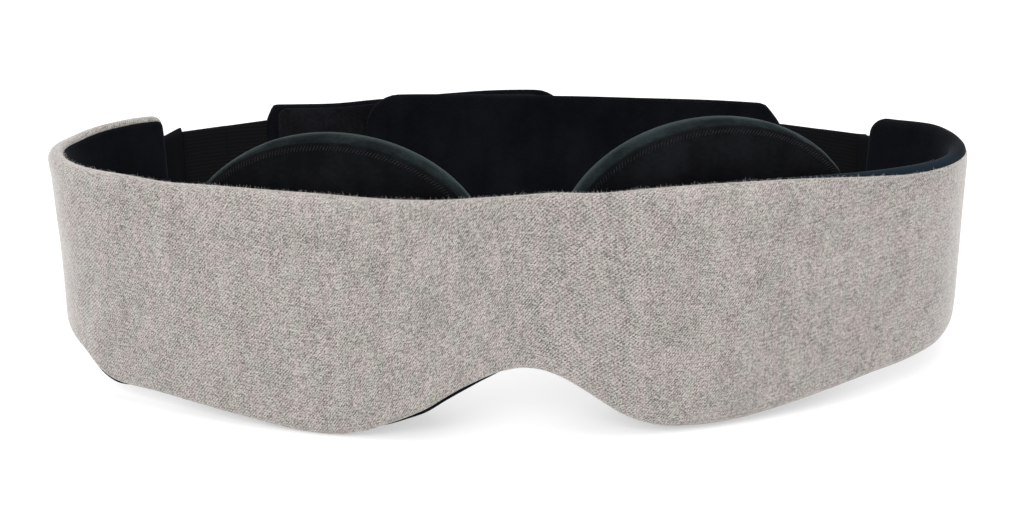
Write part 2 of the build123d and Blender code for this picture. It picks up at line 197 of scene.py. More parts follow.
def jerseyMaterial():
    # UV is in centimetres along and up the cloth; each row of loops leans the same way
    surface = {"Roughness": 0.95, "Sheen_Weight": 0.7, "Sheen_Roughness": 0.45, "Specular_IOR_Level": 0.1}
    m = Shader("heather jersey", **surface)
    m.surface.inputs["Sheen Tint"].default_value = (1.0, 0.98, 0.97, 1.0)
    wobble = m.noise(m.uv((1.2, 1.2, 1)), 3.0, 2.0) - 0.5
    along, up, _ = m.axes(m.uv())
    rows = up * (10 / jersey["courseMm"]) + wobble * 0.5
    leaning = along - rows.math("FRACT") * (jersey["lean"] * jersey["courseMm"] / 10) + wobble * 0.02
    wale = (leaning * (2 * math.pi * 10 / jersey["waleMm"])).sine()
    course = (rows * (2 * math.pi)).sine()
    column = (leaning * (10 / jersey["loopMm"][0])).math("FLOOR")
    row = (up * (10 / jersey["loopMm"][1]) + wobble * 2.0).math("FLOOR")
    where = m.add("ShaderNodeCombineXYZ", {}, {0: column, 1: row})
    loop = m.add("ShaderNodeTexWhiteNoise", {"noise_dimensions": "2D"}, {"Vector": where})
    fibre = m.noise(m.uv(), 45.0, 2.0, 0.6)
    streak = m.noise(m.uv((10 / jersey["streakMm"][0], 10 / jersey["streakMm"][1], 1)), 1.0, 3.0, 0.55)
    tint = m.noise(m.uv((2.6, 1.1, 1)), 1.0, 2.0, 0.5)
    patch = m.noise(m.uv((1.1, 0.45, 1)), 1.0, 1.0, 0.5)
    light = (loop - 0.5) * 0.74 + (fibre - 0.5) * 1.05 + wale * 0.15 + course * 0.05
    # painted highlight: the knit's colour is made lighter towards its top edge, standing in for light
    # falling on the top
    light += (streak - 0.5) * 0.32 + (patch - 0.5) * 0.22 + up.between(*jersey["paintedLightTopCm"]) * 0.08 + 0.49
    light = light.clamped()
    tone = m.blend(tint.between(0.38, 0.62), jersey["grey"], jersey["pink"])
    shade = m.blend(light, jersey["gap"], jersey["pale"])
    multiply = {"data_type": "RGBA", "blend_type": "MULTIPLY"}
    m.colour(m.add("ShaderNodeMix", multiply, {0: 1.0, 6: shade, 7: tone}, output=2))
    m.bump(light * 0.5 + wale * 0.2, jersey["depthMm"] * mm, 0.7)
    return m.material


coolSheen = (0.55, 0.65, 0.8, 1.0)
rolledRim = {"edgeCm": (-0.34, -0.24), "startCm": (6.0, 9.0), "endCm": (12.2, 13.6)}


def velourMaterial(name, colour, nap, sheen=0.2, tint=coolSheen, scale=900.0, rim=None):
    # rim is the lighter colour of the fabric rolled over the top edge, where UV is below zero
    m = Shader(name, Roughness=0.95, Sheen_Weight=sheen, Sheen_Roughness=0.35, Specular_IOR_Level=0.05)
    m.surface.inputs["Sheen Tint"].default_value = tint
    lie = m.noise(m.place(), 60.0, 3.0, 0.6)
    pile = m.noise(m.place((1, 1, 1.6)), scale, 3.0, 0.7)
    stroke = m.noise(m.place((1, 1, 0.35)), 260.0, 2.0)
    lifted = (lie * 0.6 + stroke * 0.3 + pile * 0.35).between(0.45, 0.85)
    base = m.blend(lifted, colour, nap)
    if rim:
        along, down, _ = m.axes(m.uv())
        rolled = 1 - (down + (pile - 0.5) * 0.05).between(*rolledRim["edgeCm"])
        shown = along.between(*rolledRim["startCm"]) * (1 - along.between(*rolledRim["endCm"]))
        base = m.blend(rolled * shown * (pile * 0.5 + 0.6).clamped(), base, rim)
    m.colour(base)
    m.bump(pile * 0.7 + lie * 0.5, 0.25 * mm, 0.8)
    return m.material


def wovenMaterial(name, colour, rib, ribMm=1.1, pickMm=0.7, sheen=0.15):
    # UV is in centimetres along and up the band; ribs run along it
    m = Shader(name, Roughness=0.8, Sheen_Weight=sheen, Sheen_Roughness=0.4, Specular_IOR_Level=0.06)
    along, up, _ = m.axes(m.uv())
    ribs = (up * (2 * math.pi * 10 / ribMm)).sine()
    picks = (along * (2 * math.pi * 10 / pickMm) + ribs * 0.8).sine()
    fuzz = m.noise(m.uv(), 25.0, 2.0)
    weave = (ribs * 0.35 + picks * 0.2 + fuzz).between(0.2, 1.0)
    m.colour(m.blend(weave, colour, rib))
    m.bump(ribs * 0.5 + picks * 0.4 + fuzz * 0.5, 0.06 * mm, 0.5)
    return m.material


def threadMaterial(name, colour, twist):
    m = Shader(name, Roughness=0.7, Specular_IOR_Level=0.12)
    strands = m.noise(m.place(), 2600.0, 2.0)
    m.colour(m.blend(strands.between(0.35, 0.7), colour, twist))
    m.bump(strands, 0.05 * mm, 0.6)
    return m.material


def mouldedMaterial(name, colour, shade, roughness=0.5, grain=1400.0, metallic=0.0, shine=0.5):
    m = Shader(name, Metallic=metallic, Specular_IOR_Level=shine)
    fine = m.noise(m.place(), grain, 3.0, 0.6)
    broad = m.noise(m.place(), 120.0, 2.0)
    m.colour(m.blend((fine * 0.5 + broad * 0.5).between(0.35, 0.65), colour, shade))
    m.roughness(roughness + (fine - 0.5) * 0.25)
    m.bump(fine, 0.02 * mm, 0.5)
    return m.material


def brushedMaterial(name, colour, shade):
    m = Shader(name, Metallic=1.0)
    drawn = m.noise(m.place((1, 1, 40)), 300.0, 3.0, 0.6)
    m.colour(m.blend(drawn.between(0.3, 0.7), colour, shade))
    m.roughness(0.28 + drawn * 0.2)
    m.bump(drawn, 0.01 * mm, 0.4)
    return m.material


def boardMaterial():
    m = Shader("solder mask", Coat_Weight=0.4)
    values = {"Vector": m.place(), "Scale": 420.0}
    tracks = m.add("ShaderNodeTexVoronoi", {"feature": "DISTANCE_TO_EDGE"}, values)
    copper = 1 - tracks.between(0.02, 0.06)
    fine = m.noise(m.place(), 900.0, 2.0)
    m.colour(m.blend(copper * 0.5 + fine * 0.2, rgb(20, 78, 44), rgb(64, 128, 74)))
    m.roughness(0.35 + fine * 0.15)
    m.bump(copper, 0.03 * mm, 0.6)
    return m.material


finish = {
    "jersey": jerseyMaterial(),
    "lining": velourMaterial(
        "velour lining", rgb(8, 9, 12), rgb(15, 17, 22), sheen=0.06, rim=rgb(24, 35, 43)
    ),
    "padVelour": velourMaterial("pad velour", rgb(8, 9, 13), rgb(16, 18, 23), sheen=0.05),
    "cupFace": velourMaterial(
        "cup loop fabric", rgb(9, 10, 12), rgb(22, 23, 26), sheen=0.10, tint=(0.8, 0.85, 0.9, 1.0),
        scale=700.0,
    ),
    "cupSide": velourMaterial(
        "cup stretch fabric", rgb(10, 14, 16), rgb(32, 40, 42), sheen=0.16, tint=(0.6, 0.78, 0.82, 1.0),
        scale=1100.0,
    ),
    "elastic": wovenMaterial("woven elastic", rgb(13, 13, 14), rgb(20, 21, 23), sheen=0.0),
    "tape": wovenMaterial("folded tape", rgb(7, 8, 10), rgb(16, 18, 21), ribMm=0.6, pickMm=0.6, sheen=0.0),
    "thread": threadMaterial("black thread", rgb(15, 16, 18), rgb(38, 39, 41)),
    "rimThread": threadMaterial("slate thread", rgb(44, 50, 56), rgb(84, 90, 96)),
    "fuzz": threadMaterial("loose yarn", rgb(205, 200, 194), rgb(228, 223, 217)),
    "hook": mouldedMaterial("hook tape", rgb(12, 12, 15), rgb(24, 25, 29), roughness=0.6, shine=0.06),
    "shell": mouldedMaterial("moulded shell", rgb(24, 24, 27), rgb(34, 34, 37), roughness=0.5),
    "button": mouldedMaterial("silicone button", rgb(40, 40, 42), rgb(52, 52, 54), roughness=0.75),
    "pouch": mouldedMaterial(
        "battery pouch", rgb(176, 178, 182), rgb(206, 208, 212), roughness=0.3, grain=500.0, metallic=0.9
    ),
    "board": boardMaterial(),
    "steel": brushedMaterial("drawn steel", rgb(188, 188, 190), rgb(150, 150, 154)),
    "weight": brushedMaterial("sintered weight", rgb(128, 128, 132), rgb(104, 104, 108)),
    "pin": brushedMaterial("plated pin", rgb(230, 190, 110), rgb(205, 165, 90)),
}
cadFinish = {
    "knit_cover": "jersey", "foam": "cupFace", "velour_lining": "lining", "folded_tape": "tape",
    "elastic": "elastic", "overlock_thread": "thread", "hook_tape": "hook", "pad_felt": "padVelour",
    "pad_velour": "padVelour", "cup_side": "cupSide", "cup_lining": "cupSide", "cup_face": "cupFace",
    "button_rubber": "button", "puck_shell": "shell", "circuit_board": "board", "battery_pouch": "pouch",
    "charge_contact": "pin", "motor_steel": "steel", "motor_tungsten": "weight",
}
for part in frame["record"]["subparts"]:
    for materialSlot in frame["nodes"][part["node"]].material_slots:
        materialSlot.material = finish[cadFinish[part["material_slot"]]]
print("materials made,", len(finish))


def meshPiece(name, points, faces, material, uvs=None, outward=True):
    mesh = bpy.data.meshes.new(name)
    mesh.from_pydata([tuple(p) for p in points], [], faces)
    if uvs is not None:
        layer = mesh.uv_layers.new(name="cloth")
        layer.data.foreach_set("uv", np.array(uvs, np.float32).ravel())
    if outward:
        shell = bmesh.new()
        shell.from_mesh(mesh)
        bmesh.ops.recalc_face_normals(shell, faces=shell.faces)
        shell.to_mesh(mesh)
        shell.free()
    mesh.materials.append(material)
    mesh.polygons.foreach_set("use_smooth", np.ones(len(mesh.polygons), bool))
    piece = bpy.data.objects.new(name, mesh)
    bpy.context.scene.collection.objects.link(piece)
    return piece


def stand(piece):
    piece.data.transform(standing)
    return piece


def ringFaces(count, around):
    # quads between closed rings that hold the same number of points
    pairs = [(j, (j + 1) % around) for j in range(around)]
    starts = [(i * around, (i + 1) * around) for i in range(count - 1)]
    return [(low + j, low + k, high + k, high + j) for low, high in starts for j, k in pairs]


def unit(vectors):
    return vectors / np.linalg.norm(vectors, axis=1)[:, None]


def loft(name, rows, material, uvRows):
    # rows: stations x points round a closed section; uvRows has one more point round, for the wrap
    count, around = rows.shape[:2]
    faces, uvs = ringFaces(count, around), []
    for i in range(count - 1):
        for j in range(around):
            uvs += [uvRows[i, j], uvRows[i, j + 1], uvRows[i + 1, j + 1], uvRows[i + 1, j]]
    for i in (0, count - 1):
        faces.append(tuple(i * around + j for j in range(around)))
        uvs += [uvRows[i, j] for j in range(around)]
    return meshPiece(name, rows.reshape(-1, 3), faces, material, uvs)


def endRounding(count, start, end, reach):
    # stations from start to end, crowded into quarter circles at both ends
    turn = np.linspace(0, math.pi / 2, 9)[:-1]
    first = start + reach * (1 - np.cos(turn))
    last = end - reach * (1 - np.cos(turn))
    return joined(first, np.linspace(start + reach, end - reach, count), last[::-1])


def endScale(s, start, end, reach):
    # 0 at both ends, rising as a quarter circle over the reach
    near = np.clip(np.minimum(s - start, end - s) / reach, 0, 1)
    return np.sqrt(np.clip(1 - (1 - near) ** 2, 0, 1))


def cornerCut(s, start, end, cornerStart, cornerEnd):
    # how far a rounded corner draws the top and bottom edges in
    cut = np.zeros_like(s)
    for distance, radius in ((s - start, cornerStart), (end - s, cornerEnd)):
        near = np.clip(distance, 0, radius)
        cut = np.maximum(cut, radius - np.sqrt(np.clip(radius**2 - (radius - near) ** 2, 0, None)))
    return cut


def padSection(thickness, height, faceCount, rollCount):
    # a flat closed section with full round edges, as depths from its middle and heights, in order
    depth, level = [], []
    radius = thickness / 2
    for t in np.linspace(0, 1, faceCount, endpoint=False):
        depth.append(-radius)
        level.append(radius + (height - thickness) * t)
    for a in np.linspace(0, math.pi, rollCount, endpoint=False):
        depth.append(-radius * math.cos(a))
        level.append(height - radius + radius * math.sin(a))
    for t in np.linspace(0, 1, faceCount, endpoint=False):
        depth.append(radius)
        level.append(height - radius - (height - thickness) * t)
    for a in np.linspace(0, math.pi, rollCount, endpoint=False):
        depth.append(radius * math.cos(a))
        level.append(radius - radius * math.sin(a))
    return np.array(depth), np.array(level)


def slab(name, pathAt, s, bottom, top, thickness, material, faceCount=26, rollCount=8, puff=0.0):
    # a flat pad or tape that follows pathAt(s, depth); thickness is one number for each station
    rows, uvRows = [], []
    for place, low, high, thick in zip(s, bottom, top, thickness):
        height = max(high - low, 0.1 * mm)
        depth, level = padSection(max(thick, 0.02 * mm), height, faceCount, rollCount)
        crown = puff * np.sign(depth) * np.sin(np.clip(level / height, 0, 1) * math.pi) ** 0.5
        depth = depth + crown * min(1, thick / max(thickness))
        x, y = pathAt(np.full_like(depth, place), depth)
        rows.append(np.stack([x, y, low + level], 1))
        run = np.hypot(np.diff(depth, append=depth[0]), np.diff(level, append=level[0]))
        cloth = joined([0.0], np.cumsum(run))
        uvRows.append(np.stack([np.full_like(cloth, place), cloth], 1) * 100)
    return loft(name, np.array(rows), material, np.array(uvRows))


band = {
    # -1 is the left side as seen from the front, 1 is the right
    "frontRadius": 232 * mm, "cornerRadius": 35 * mm, "width": 252 * mm, "tail": 18 * mm,
    "thickness": 6 * mm,
    "endTurn": {-1: math.radians(135), 1: math.radians(126)},  # how far each end turns back
    "endCorner": {-1: 3.0 * mm, 1: 5.2 * mm}, "endRound": 3 * mm, "shorter": {-1: 0, 1: 2.2 * mm},
    "seamDip": 0.3 * mm, "seamWidth": 0.7 * mm, "crown": 0.5 * mm,
    # how far each temple leans in at each height, in mm, and where across the face that starts and is full
    "leanFrom": 88 * mm, "leanFull": 120 * mm,
    "lean": {
        -1: [
            (0, 1.6), (14, 2.0), (22, 2.4), (30, 2.5), (38, 2.4), (46, 1.9), (54, 1.4), (58, 1.0),
            (62, 0.3), (66, 0),
        ],
        1: [(0, 1.1), (20, 0.7), (30, 0.7), (46, 0.4), (54, 0), (63, -0.5), (66, -0.5)],
    },
    # height of each edge along the band from its nose, in mm
    "bottomEdge": [
        (-196, 14), (-132, 13.6), (-124, 11.2), (-118, 7.6), (-112, 5.5), (-106, 5.3), (-100, 5.1),
        (-94, 4.5), (-88, 3.6), (-82, 2.7), (-76, 1.7), (-70, 0.8), (-64, -0.3), (-58, -1.2),
        (-52, -1.7), (-46, -1.7),
        (-40, -0.6), (-34, 1.3), (-28, 3.4), (-23, 5.4), (-18, 8.6), (-13, 11.6), (-8, 14.4), (-3, 16.6),
        (2, 17.3), (7, 16.5), (12, 14.3), (17, 11.1), (22, 7.5), (27, 4.0), (32, 1.6), (38, -0.2),
        (45, -0.8), (52, -0.8), (60, -0.1), (68, 1.1), (76, 2.5), (84, 4.1), (92, 5.6), (100, 7.0),
        (108, 8.0), (116, 9.3), (124, 10.3), (134, 12.4), (146, 14), (196, 14),
    ],
    "topEdge": [
        (-196, 64.3), (-186, 65.0), (-178, 64.9), (-170, 64.5), (-162, 64.0), (-150, 64.1), (-140, 64.2),
        (-130, 63.9), (-116, 63.5), (-104, 63.1), (-92, 62.4), (-80, 62.6), (-60, 62.4), (-50, 62.2),
        (-39, 61.7), (-28, 61.3), (-18, 61.4), (-8, 62.0), (2, 62.6), (10, 63.0), (20, 62.6), (34, 63.2),
        (50, 63.5), (66, 63.3), (82, 62.8), (96, 62.4), (110, 62.3), (124, 62.6), (136, 62.9), (148, 63.0),
        (156, 63.5), (164, 63.8), (172, 63.4), (180, 62.7), (190, 62.2),
    ],
    # how deep in the edges the knit meets the lining, along the band, in mm
    "seamTop": [
        (-196, 5.3), (-120, 5.2), (-90, 4.2), (-30, 3.4), (40, 3.2), (75, 2.4), (92, 1.2), (106, 0.45),
        (196, 0.4),
    ],
    "seamBottom": [
        (-196, 3), (-128, 2.8), (-124, 1.4), (-118, 0.7), (-111, 0.8), (-104, 2.8), (-38, 2.8), (-32, 1.6),
        (-24, 0.6), (-14, 0.55), (-7, 1.2), (-2, 2.8), (196, 3),
    ],
}
cornerX = band["width"] / 2 - band["cornerRadius"]
frontTurn = math.asin(cornerX / (band["frontRadius"] - band["cornerRadius"]))
frontEnd = band["frontRadius"] * frontTurn
cornerY = band["frontRadius"] - (band["frontRadius"] - band["cornerRadius"]) * math.cos(frontTurn)


def bandAt(s, depth):
    # s runs along the outer face from the nose, left negative; depth goes inwards
    reach = np.abs(s)
    endTurn = np.where(s < 0, band["endTurn"][-1], band["endTurn"][1])
    onFront = reach <= frontEnd
    onCorner = frontTurn + (reach - frontEnd) / band["cornerRadius"]
    turn = np.where(onFront, reach / band["frontRadius"], onCorner)
    beyond = np.maximum(turn - endTurn, 0) * band["cornerRadius"]
    turn = np.minimum(turn, endTurn)
    radius = np.where(onFront, band["frontRadius"], band["cornerRadius"]) - depth
    x = np.where(onFront, 0, cornerX) + radius * np.sin(turn) + beyond * np.cos(endTurn)
    y = np.where(onFront, band["frontRadius"], cornerY) - radius * np.cos(turn) + beyond * np.sin(endTurn)
    return np.where(s < 0, -x, x), y


def bandEnd(side):
    return side * (frontEnd + band["cornerRadius"] * (band["endTurn"][side] - frontTurn) + band["tail"])


def edgeCurve(points, s):
    # a soft curve through (mm, mm) points
    x, y = np.array(points, float).T * mm
    slope = np.gradient(y, x)
    i = np.clip(np.searchsorted(x, s) - 1, 0, len(x) - 2)
    h = x[i + 1] - x[i]
    t = np.clip((s - x[i]) / h, 0, 1)
    return (
        (2 * t**3 - 3 * t**2 + 1) * y[i]
        + (t**3 - 2 * t**2 + t) * h * slope[i]
        + (3 * t**2 - 2 * t**3) * y[i + 1]
        + (t**3 - t**2) * h * slope[i + 1]
    )


def bandSection(low, high, thick, seamLow, seamHigh, knit):
    # one fabric of the band at one station: over the padding outside, and back through the middle
    radius = thick / 2
    straight = max(high - low - 2 * radius, 0.1 * mm)
    over = radius * math.acos(1 - min(seamHigh / radius, 2.0))
    under = radius * math.acos(1 - min(seamLow / radius, 2.0))
    whole = 2 * straight + 2 * math.pi * radius
    if knit:
        run = joined(
            np.linspace(-under, 0, 10, endpoint=False),
            np.linspace(0, straight, 56, endpoint=False),
            np.linspace(straight, straight + over, 14),
        )
    else:
        run = joined(
            np.linspace(straight + over, straight + math.pi * radius, 14, endpoint=False),
            np.linspace(straight + math.pi * radius, whole - math.pi * radius, 56, endpoint=False),
            np.linspace(whole - math.pi * radius, whole - under, 14),
        )
    depth, level = np.zeros_like(run), np.zeros_like(run)
    dip = band["seamDip"] * np.exp(-(((run - run[0]) / band["seamWidth"]) ** 2))
    dip += band["seamDip"] * np.exp(-(((run - run[-1]) / band["seamWidth"]) ** 2))
    around = np.where(run < 0, run + whole, run)
    for i, w in enumerate(around):
        if w <= straight:
            depth[i], level[i], out, rise = 0, radius + w, 1, 0
            crown = band["crown"] * (1 - math.sin(math.pi * w / straight) ** 0.6)
        elif w <= straight + math.pi * radius:
            a = (w - straight) / radius
            depth[i], level[i] = radius - radius * math.cos(a), radius + straight + radius * math.sin(a)
            out, rise, crown = math.cos(a), math.sin(a), band["crown"] * abs(math.cos(a))
        elif w <= 2 * straight + math.pi * radius:
            v = w - straight - math.pi * radius
            depth[i], level[i], out, rise = 2 * radius, radius + straight - v, -1, 0
            crown = band["crown"] * (1 - math.sin(math.pi * v / straight) ** 0.6)
        else:
            a = (w - 2 * straight - math.pi * radius) / radius
            depth[i], level[i] = radius + radius * math.cos(a), radius - radius * math.sin(a)
            out, rise, crown = -math.cos(a), -math.sin(a), band["crown"] * abs(math.cos(a))
        inward = min(dip[i] + crown * min(1, thick / band["thickness"]), 0.8 * radius)
        depth[i] += inward * out
        level[i] -= dip[i] * rise
    middle = np.linspace(1, 0, 12)[1:-1]
    backDepth = depth[0] + (depth[-1] - depth[0]) * middle
    backLevel = level[0] + (level[-1] - level[0]) * middle
    heart = radius * (0.9 if knit else 1.1)
    blendIn = np.sin(math.pi * middle) ** 0.3
    backDepth = backDepth * (1 - blendIn) + heart * blendIn
    depth, level = joined(depth, backDepth), joined(level, backLevel)
    cloth = joined(run, run[-1] + (run[0] - run[-1]) * (1 - middle), run[:1])
    return depth, low + level, cloth - (0 if knit else straight + math.pi * radius)


def bandPiece(name, knit, material):
    start, end = bandEnd(-1) + band["shorter"][-1], bandEnd(1) - band["shorter"][1]
    s = endRounding(300, start, end, band["endRound"])
    thickness = band["thickness"] * (0.06 + 0.94 * endScale(s, start, end, band["endRound"]))
    cut = cornerCut(s, start, end, band["endCorner"][-1], band["endCorner"][1])
    low = edgeCurve(band["bottomEdge"], s) + cut
    high = edgeCurve(band["topEdge"], s) - cut
    seamHigh = np.interp(s, *(np.array(band["seamTop"], float).T * mm))
    seamLow = np.interp(s, *(np.array(band["seamBottom"], float).T * mm))
    rows, uvRows = [], []
    for i, place in enumerate(s):
        share = thickness[i] / band["thickness"]
        seams = seamLow[i] * share, seamHigh[i] * share
        depth, level, cloth = bandSection(low[i], high[i], thickness[i], *seams, knit)
        x, y = bandAt(np.full_like(depth, place), depth + (band["thickness"] - thickness[i]) / 2)
        side = np.clip((np.abs(x) - band["leanFrom"]) / (band["leanFull"] - band["leanFrom"]), 0, 1)
        side = side**2 * (3 - 2 * side)
        lean = np.where(x < 0, edgeCurve(band["lean"][-1], level), edgeCurve(band["lean"][1], level))
        x -= np.sign(x) * side * lean
        rows.append(np.stack([x, y, level], 1))
        uvRows.append(np.stack([np.full_like(cloth, place), cloth], 1) * 100)
    return loft(name, np.array(rows), material, np.array(uvRows))


knitCover = stand(bandPiece("knitCover", True, finish["jersey"]))
lining = stand(bandPiece("lining", False, finish["lining"]))
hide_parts("outer_cover", "foam_core")
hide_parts("inner_lining")
for piece, slotName in ((knitCover, "knit_cover"), (lining, "velour_lining")):
    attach(piece, "front_panel")
print("band made")


strap = {
    "middle": {-1: 39.8 * mm, 1: 38.5 * mm}, "padMiddle": 39.35 * mm,
    "elasticRise": {-1: (-0.5 * mm, 0.6 * mm), 1: (-1.2 * mm, 0.5 * mm)},  # at the band and at the pad
    "anchorDepth": 5.5 * mm, "anchorThickness": 3.2 * mm, "anchorHeight": 41 * mm,
    "reach": {-1: 6.9 * mm, 1: 2.0 * mm}, "tapeDrop": 2.6 * mm, "tapeRise": {-1: 1.9 * mm, 1: 0.0},
    "elasticHeight": 38 * mm, "elasticThickness": 1.2 * mm, "sunk": 2.5 * mm,
    "padRadius": 250 * mm, "padCentreY": -134 * mm, "padHeight": 50 * mm, "padThickness": 2.4 * mm,
    "padInner": {-1: 251.2 * mm, 1: 247.35 * mm}, "hookRadius": 250.15 * mm,
    "seam": {-1: -71.2 * mm, 1: 83.2 * mm}, "tip": {-1: 19.8 * mm, 1: -42 * mm}, "slope": {-1: 2.0, 1: 0.6},
    "tipCorner": 10 * mm, "seamCorner": 4 * mm, "hookEndBorder": 3.2 * mm, "hookEdgeBorder": 1.0 * mm,
    # top edge of each pad, in mm across the head and up
    "padTop": {
        -1: [
            (-72, 64.2), (-62, 63.6), (-50, 63.2), (-40, 63.7), (-28, 64.3), (-16, 65.0), (-4, 65.6),
            (8, 65.7), (18, 65.4),
        ],
        1: [
            (-42, 65.9), (-30, 65.8), (-16, 65.4), (0, 64.9), (12, 64.6), (26, 64.4), (40, 64.2),
            (66, 64.2), (84, 63.9),
        ],
    },
    # how long and deep the slope is at each pad's seam
    "shoulder": {-1: (2.6 * mm, 5.6 * mm), 1: (5.2 * mm, 6.2 * mm)},
}


def tailPoint(side, along):
    # a point on the straight line that the band's end points along, measured from the end
    x, y = bandAt(np.array([bandEnd(side)]), np.array([band["thickness"] / 2]))
    turn = band["endTurn"][side]
    return np.array([x[0] + side * along * math.cos(turn), y[0] + along * math.sin(turn)])


def padPoint(x, radius):
    return np.array([x, strap["padCentreY"] + math.sqrt(radius**2 - x**2)])


def straightPath(start, end):
    along = (end - start) / np.linalg.norm(end - start)
    across = np.array([-along[1], along[0]])

    def at(s, depth):
        return start[0] + along[0] * s + across[0] * depth, start[1] + along[1] * s + across[1] * depth

    return at, float(np.linalg.norm(end - start))


def padPath(middleRadius):
    def at(s, depth):
        # s is the place across the head, depth is outwards from the middle of the pad
        angle = np.arcsin(s / strap["padRadius"])
        radius = middleRadius + depth
        return radius * np.sin(angle), strap["padCentreY"] + radius * np.cos(angle)

    return at


def padPiece(name, side, middleRadius, thickness, endBorder, edgeBorder, material, puff):
    seam, tip, slope = strap["seam"][side], strap["tip"][side], strap["slope"][side]
    start, end = min(seam, tip) + endBorder, max(seam, tip) - endBorder
    seamCorner, tipCorner = strap["seamCorner"] - edgeBorder, strap["tipCorner"] - edgeBorder
    corners = (tipCorner, seamCorner) if side > 0 else (seamCorner, tipCorner)
    s = endRounding(70, start, end, corners[0])
    for reach in (thickness / 2, corners[1]):
        s = joined(s, endRounding(6, start, end, reach))
    s = np.unique(s)
    cut = cornerCut(s, start, end, *corners)
    half = strap["padHeight"] / 2 - edgeBorder
    toward = 1 if tip > seam else -1
    middle = strap["padMiddle"] + toward * math.tan(math.radians(slope)) * (s - (seam + tip) / 2)
    length, depth = strap["shoulder"][side]
    near = np.clip(np.abs(s - seam) / length, 0, 1)
    cut = np.maximum(cut, np.maximum(depth - edgeBorder, 0) * (1 - near) ** 1.25)
    high = edgeCurve(strap["padTop"][side], s) - edgeBorder - cut
    thick = thickness * (0.1 + 0.9 * endScale(s, start, end, thickness / 2))
    piece = slab(name, padPath(middleRadius), s, middle - half + cut, high, thick, material, puff=puff)
    return stand(piece)


def strapSide(sideName, side):
    # folded tape, elastic and pad of one side; the elastic is made in two halves
    reach, middle = strap["reach"][side], strap["middle"][side]
    start, end = tailPoint(side, -strap["anchorDepth"]), tailPoint(side, reach)
    path, length = straightPath(start, end)
    rounding = strap["anchorThickness"] / 2
    s = endRounding(16, 0, length, rounding)
    rise = strap["tapeRise"][side] * np.clip((s - strap["anchorDepth"]) / reach, 0, 1)
    half = strap["anchorHeight"] / 2
    low = np.full_like(s, middle - half)
    thick = strap["anchorThickness"] * (0.25 + 0.75 * endScale(s, 0, length, rounding))
    high = middle + half - strap["tapeDrop"] + rise
    tape = slab(sideName + "FoldedTape", path, s, low, high, thick, finish["tape"])
    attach(stand(tape), "front_panel")
    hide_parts(sideName + "_strap_anchor")

    hinge = tailPoint(side, reach + 0.9 * mm)
    inner = strap["padInner"][side]
    seam = padPoint(strap["seam"][side], inner + strap["padThickness"] / 2)
    path, length = straightPath(hinge, seam)
    sunk = strap["sunk"]
    pieces = []
    for label, first, last, thin in (
        ("Fold", -sunk, length / 2, 0), ("Stretch", length / 2 - 1 * mm, length + sunk, 0.06 * mm)
    ):
        s = np.linspace(first, last, 20)
        t = np.clip(s / length, 0, 1)
        half = strap["elasticHeight"] / 2 - thin
        atBand, atPad = strap["elasticRise"][side]
        high = middle + half + atBand * (1 - t) + atPad * t
        low = middle - half + 0.3 * mm * np.sin(t * math.pi)
        thick = np.full_like(s, strap["elasticThickness"] - thin)
        name = sideName + "Elastic" + label
        pieces.append(slab(name, path, s, low, high, thick, finish["elastic"], rollCount=4))
    for piece in pieces:
        stand(piece)

    def flat(s):
        return standing @ Vector((*[float(v) for v in path(s, 0.0)], middle))

    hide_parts(sideName + "_elastic")
    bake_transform(pieces[0], "front_panel", sideName + "_strap", flat(-1.2 * mm), flat(3.0 * mm))
    bend = flat(length * 0.55), flat(length - 0.6 * mm)
    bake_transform(pieces[1])

    pad = padPiece(
        sideName + "Pad", side, inner + strap["padThickness"] / 2, strap["padThickness"], 0.0, 0.0,
        finish["padVelour"], 0.1 * mm,
    )
    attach(pad, sideName + "_pad")
    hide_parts(*(sideName + "_pad_" + layer for layer in ("inner_face", "core", "outer_face")))


strapSide("left", -1)
strapSide("right", 1)
borders = strap["hookEndBorder"], strap["hookEdgeBorder"]
hookBacking = padPiece(
    "hookPatch", -1, strap["hookRadius"] + 0.75 * mm, 0.5 * mm, *borders, finish["hook"], 0.0
)
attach(hookBacking, "left_pad")
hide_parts("left_pad_hook_patch")
print("strap made")


cup = {
    "width": 82.4 * mm, "height": 66 * mm, "leftTurn": -12.0, "rightTurn": 13.4,
    "leftZ": 41.0 * mm, "rightZ": 43.8 * mm, "bulge": 0.7 * mm, "around": 96,
    "faceDepth": 7.55 * mm, "bodyDepth": 8.4 * mm, "sideDepth": 8.0 * mm, "round": 5.0 * mm,
    # share of the outline and depth, in mm, of each ring in the eye hollow, after its width
    "hollowWidth": 46 * mm, "hollowDepth": 3.6,
    "hollow": [(0.01, 0.7), (0.05, 2.0), (0.11, 3.0), (0.2, 3.5)],
    "slitHeight": 9 * mm, "slitHalf": 19 * mm, "slitDepth": 0.35 * mm, "slitWidth": 0.8 * mm,
    "pressure": 4.0, "mostMove": 1.6 * mm, "heldRings": 6,
}


def cupAt(sideName, x, z, depth):
    # local place across, up and into the cup, wrapped round the inside of the band
    turn = math.radians(cup[sideName + "Turn"])
    radius = band["frontRadius"] - depth
    angle = turn + x / (band["frontRadius"] - cup["bodyDepth"])
    y = band["frontRadius"] - radius * np.cos(angle)
    return np.stack([radius * np.sin(angle), y, z + cup[sideName + "Z"]], -1)


def cupOutline(angles, share, beyond):
    # points on the cup's oval, drawn in to a share of it and then moved straight out
    a, b = cup["width"] / 2, cup["height"] / 2
    normal = unit(np.stack([np.cos(angles) / a, np.sin(angles) / b], 1))
    x = share * a * np.cos(angles) + beyond * normal[:, 0]
    return x, share * b * np.sin(angles) + beyond * normal[:, 1]


